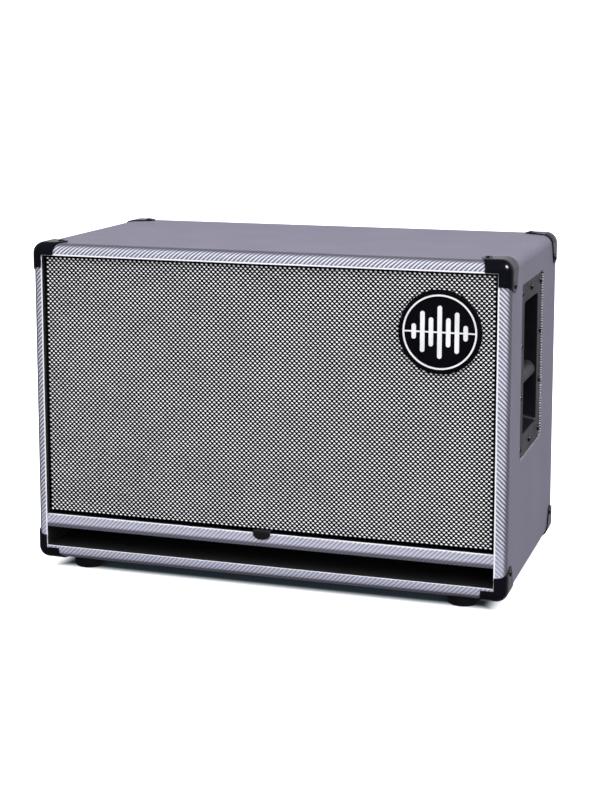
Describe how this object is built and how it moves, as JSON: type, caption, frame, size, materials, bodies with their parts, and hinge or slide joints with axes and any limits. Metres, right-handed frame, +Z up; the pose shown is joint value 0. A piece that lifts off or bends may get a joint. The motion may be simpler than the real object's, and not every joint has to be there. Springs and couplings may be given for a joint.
{
  "type": "bass speaker cabinet",
  "caption": "Front-slotted bass speaker cabinet with woofers and a horn behind a pull-off cloth grille, side handles and rubber feet.",
  "frame": {"origin": "on the floor under the middle of the cabinet", "axes": "+Z up, front grille faces -Y, +X along the cabinet's width"},
  "size_m": [0.6068, 0.3286, 0.4179],
  "materials": {
    "ply": "bare birch plywood",
    "baffle_paint": "plywood painted matt black",
    "grey_vinyl": "smooth grey vinyl covering",
    "grey_board": "plywood board faced with grey vinyl",
    "silver_weave": "silver-grey diagonal weave",
    "grille_weave": "black cloth with white woven flecks",
    "black_plastic": "glossy black plastic",
    "badge_white": "white inlay",
    "webbing": "black webbing",
    "black_rubber": "matt black rubber",
    "black_steel": "satin black powder coat",
    "magnet": "dark ferrite and zinc-plated steel",
    "cone_paper": "black treated paper",
    "spider_cloth": "tan resin-dipped cloth",
    "board_green": "green circuit board",
    "nickel": "nickel plate",
    "lead_jacket": "dark red insulation"
  },
  "bodies": {
    "cabinet": {"top_panel": "ply", "bottom_panel": "ply", "left_side_panel": "ply", "right_side_panel": "ply", "cross_brace": "ply", "port_shelf": "baffle_paint", "baffle": "baffle_paint", "grey_covering": "grey_vinyl", "back_panel": "grey_board", "front_trim": "silver_weave", "rail_trim": "silver_weave", "handle_grip_left": "black_plastic", "handle_grip_right": "black_plastic", "horn_flare": "black_plastic", "hook_strip_left": "webbing", "hook_strip_right": "webbing", "corner_front_left_bottom": "black_plastic", "corner_front_left_top": "black_plastic", "corner_front_right_bottom": "black_plastic", "corner_front_right_top": "black_plastic", "corner_rear_left_bottom": "black_plastic", "corner_rear_left_top": "black_plastic", "corner_rear_right_bottom": "black_plastic", "corner_rear_right_top": "black_plastic", "foot_front_left": "black_rubber", "foot_front_right": "black_rubber", "foot_rear_left": "black_rubber", "foot_rear_right": "black_rubber", "handle_dish_left": "black_steel", "handle_dish_right": "black_steel", "connection_plate": "black_steel", "compression_driver": "magnet", "input_socket_1": "nickel", "input_socket_2": "nickel", "level_control": "nickel", "crossover_board": "board_green", "woofer_lead_left": "lead_jacket", "woofer_lead_right": "lead_jacket", "horn_lead": "lead_jacket", "input_lead": "lead_jacket", "woofer_left_basket": "black_steel", "woofer_left_motor": "magnet", "woofer_left_surround": "black_rubber", "woofer_left_spider": "spider_cloth", "woofer_right_basket": "black_steel", "woofer_right_motor": "magnet", "woofer_right_surround": "black_rubber", "woofer_right_spider": "spider_cloth"},
    "grille": {"grille_cloth": "grille_weave", "grille_frame": "baffle_paint", "badge_disc": "black_plastic", "badge_emblem": "badge_white", "pull_tab": "webbing", "loop_strip_left": "webbing", "loop_strip_right": "webbing"},
    "woofer_left_moving": {"woofer_left_cone": "cone_paper", "woofer_left_dust_cap": "cone_paper"},
    "woofer_right_moving": {"woofer_right_cone": "cone_paper", "woofer_right_dust_cap": "cone_paper"},
    "knob": {"level_knob": "black_plastic"}
  },
  "joints": [
    {"name": "grille_pull", "type": "slide", "parent": "cabinet", "child": "grille", "axis": [0, -1, 0], "range_m": [0, 0.1]},
    {"name": "woofer_left_stroke", "type": "slide", "parent": "cabinet", "child": "woofer_left_moving", "axis": [0, -1, 0], "range_m": [-0.006, 0.006], "stiffness_N_per_m": 5000, "deforming": ["woofer_left_surround", "woofer_left_spider"]},
    {"name": "woofer_right_stroke", "type": "slide", "parent": "cabinet", "child": "woofer_right_moving", "axis": [0, -1, 0], "range_m": [-0.006, 0.006], "stiffness_N_per_m": 5000, "deforming": ["woofer_right_surround", "woofer_right_spider"]},
    {"name": "level_knob_turn", "type": "hinge", "parent": "cabinet", "child": "knob", "pos_m": [0.034, 0.1388, 0.1745], "axis": [0, 1, 0], "range_deg": [-150, 150]}
  ]
}
